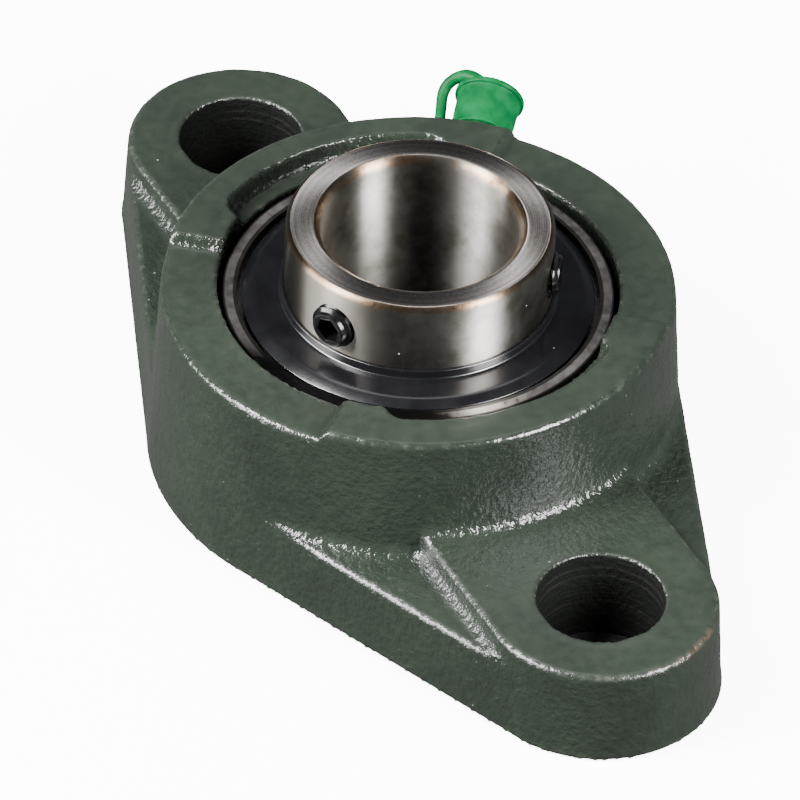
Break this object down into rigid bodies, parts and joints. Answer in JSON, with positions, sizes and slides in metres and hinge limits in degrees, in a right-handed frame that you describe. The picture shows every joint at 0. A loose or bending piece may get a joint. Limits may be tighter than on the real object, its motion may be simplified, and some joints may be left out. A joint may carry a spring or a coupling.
{
  "type": "two-bolt flange bearing",
  "caption": "Rhombic cast-iron flange bearing: a wide-ring ball insert, self-aligning in its spherical seat, with set screws and a capped grease fitting.",
  "frame": {"origin": "midway between the two bolt holes, on the mounting face", "axes": "+Z along the shaft, from the mounting face towards the set screws; +X towards one bolt hole"},
  "size_m": [0.13, 0.068, 0.0358],
  "materials": {
    "housing_paint": "grey cast iron under dark grey-green paint, semi-gloss",
    "ring_steel": "ground bearing steel",
    "inner_steel": "ground bearing steel, satin",
    "ball_steel": "polished bearing steel",
    "cage_steel": "pressed sheet steel",
    "shell_steel": "pressed sheet steel",
    "seal_rubber": "black nitrile rubber",
    "flinger_black": "black coated sheet steel, glossy",
    "screw_black": "black oxide",
    "fitting_zinc": "zinc plated",
    "spring_steel": "drawn spring wire",
    "cap_green": "soft translucent plastic, glossy",
    "strap_green": "soft translucent plastic, glossy"
  },
  "bodies": {
    "housing": {"housing": "housing_paint", "grease_fitting": "fitting_zinc", "check_spring": "spring_steel", "cap_strap": "strap_green"},
    "outer_ring": {"outer_ring": "ring_steel", "seal_shell_upper": "shell_steel", "seal_lip_upper": "seal_rubber", "seal_shell_lower": "shell_steel", "seal_lip_lower": "seal_rubber"},
    "inner_ring": {"inner_ring": "inner_steel", "flinger_upper": "flinger_black", "flinger_lower": "flinger_black"},
    "cage": {"cage_upper": "cage_steel", "cage_lower": "cage_steel", "cage_rivets": "cage_steel"},
    "ball_1": {"ball_1": "ball_steel"},
    "ball_2": {"ball_2": "ball_steel"},
    "ball_3": {"ball_3": "ball_steel"},
    "ball_4": {"ball_4": "ball_steel"},
    "ball_5": {"ball_5": "ball_steel"},
    "ball_6": {"ball_6": "ball_steel"},
    "ball_7": {"ball_7": "ball_steel"},
    "ball_8": {"ball_8": "ball_steel"},
    "ball_9": {"ball_9": "ball_steel"},
    "set_screw_1": {"set_screw_1": "screw_black"},
    "set_screw_2": {"set_screw_2": "screw_black"},
    "grease_cap": {"grease_cap": "cap_green"},
    "check_ball": {"check_ball": "ball_steel"}
  },
  "joints": [
    {"name": "insert_tilt", "type": "hinge", "parent": "housing", "child": "outer_ring", "pos_m": [0, 0, 0.016], "axis": [1, 0, 0], "range_deg": [-3, 3]},
    {"name": "ring_spin", "type": "hinge", "parent": "outer_ring", "child": "inner_ring", "pos_m": [0, 0, 0.016], "axis": [0, 0, 1], "continuous": true},
    {"name": "cage_spin", "type": "hinge", "parent": "outer_ring", "child": "cage", "pos_m": [0, 0, 0.016], "axis": [0, 0, 1], "continuous": true},
    {"name": "ball_1_spin", "type": "hinge", "parent": "cage", "child": "ball_1", "pos_m": [0.01952, 0, 0.016], "axis": [0, 0, 1], "continuous": true},
    {"name": "ball_2_spin", "type": "hinge", "parent": "cage", "child": "ball_2", "pos_m": [0.01495, 0.01255, 0.016], "axis": [0, 0, 1], "continuous": true},
    {"name": "ball_3_spin", "type": "hinge", "parent": "cage", "child": "ball_3", "pos_m": [0.00339, 0.01922, 0.016], "axis": [0, 0, 1], "continuous": true},
    {"name": "ball_4_spin", "type": "hinge", "parent": "cage", "child": "ball_4", "pos_m": [-0.00976, 0.0169, 0.016], "axis": [0, 0, 1], "continuous": true},
    {"name": "ball_5_spin", "type": "hinge", "parent": "cage", "child": "ball_5", "pos_m": [-0.01834, 0.00668, 0.016], "axis": [0, 0, 1], "continuous": true},
    {"name": "ball_6_spin", "type": "hinge", "parent": "cage", "child": "ball_6", "pos_m": [-0.01834, -0.00668, 0.016], "axis": [0, 0, 1], "continuous": true},
    {"name": "ball_7_spin", "type": "hinge", "parent": "cage", "child": "ball_7", "pos_m": [-0.00976, -0.0169, 0.016], "axis": [0, 0, 1], "continuous": true},
    {"name": "ball_8_spin", "type": "hinge", "parent": "cage", "child": "ball_8", "pos_m": [0.00339, -0.01922, 0.016], "axis": [0, 0, 1], "continuous": true},
    {"name": "ball_9_spin", "type": "hinge", "parent": "cage", "child": "ball_9", "pos_m": [0.01495, -0.01255, 0.016], "axis": [0, 0, 1], "continuous": true},
    {"name": "set_screw_1_feed", "type": "slide", "parent": "inner_ring", "child": "set_screw_1", "axis": [-0.4067, 0.9135, 0], "range_m": [-0.002, 0.0012]},
    {"name": "set_screw_2_feed", "type": "slide", "parent": "inner_ring", "child": "set_screw_2", "axis": [-0.5878, -0.809, 0], "range_m": [-0.002, 0.0012]},
    {"name": "cap_pull", "type": "slide", "parent": "housing", "child": "grease_cap", "axis": [-0.7399, 0.6209, 0.2588], "range_m": [0, 0.006], "deforming": ["cap_strap"]},
    {"name": "check_ball_lift", "type": "slide", "parent": "housing", "child": "check_ball", "axis": [0.7399, -0.6209, -0.2588], "range_m": [0, 0.0008], "stiffness_N_per_m": 100, "springref_m": -0.002, "deforming": ["check_spring"]}
  ],
  "couplings": [
    {"joint": "cage_spin", "follows": "ring_spin", "ratio": 0.3983},
    {"joint": "ball_1_spin", "follows": "ring_spin", "ratio": -2.3574},
    {"joint": "ball_2_spin", "follows": "ring_spin", "ratio": -2.3574},
    {"joint": "ball_3_spin", "follows": "ring_spin", "ratio": -2.3574},
    {"joint": "ball_4_spin", "follows": "ring_spin", "ratio": -2.3574},
    {"joint": "ball_5_spin", "follows": "ring_spin", "ratio": -2.3574},
    {"joint": "ball_6_spin", "follows": "ring_spin", "ratio": -2.3574},
    {"joint": "ball_7_spin", "follows": "ring_spin", "ratio": -2.3574},
    {"joint": "ball_8_spin", "follows": "ring_spin", "ratio": -2.3574},
    {"joint": "ball_9_spin", "follows": "ring_spin", "ratio": -2.3574}
  ]
}
